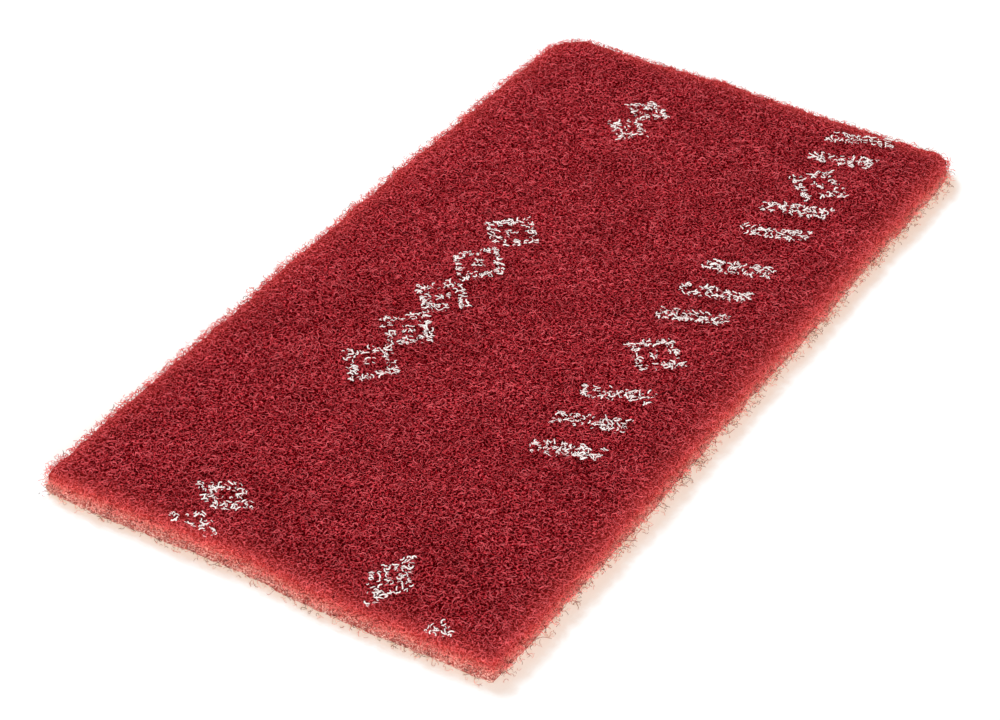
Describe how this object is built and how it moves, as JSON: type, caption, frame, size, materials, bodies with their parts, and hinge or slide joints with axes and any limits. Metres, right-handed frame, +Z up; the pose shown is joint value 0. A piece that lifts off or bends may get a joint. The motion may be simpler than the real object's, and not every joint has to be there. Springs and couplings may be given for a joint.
{
  "type": "non-woven abrasive pad",
  "caption": "Flat rectangular hand pad of open non-woven abrasive web, with soft cut edges and one corner worn round.",
  "frame": {"origin": "middle of the pad's outline, at the underside", "axes": "+X across the pad's width, +Y along its length, away from the cut end nearest the viewer, +Z up through its thickness"},
  "size_m": [0.1168, 0.2314, 0.0065],
  "materials": {
    "abrasive_web": "matte",
    "print_ink": "matte"
  },
  "bodies": {
    "root": {"abrasive_pad": "abrasive_web"}
  },
  "joints": []
}
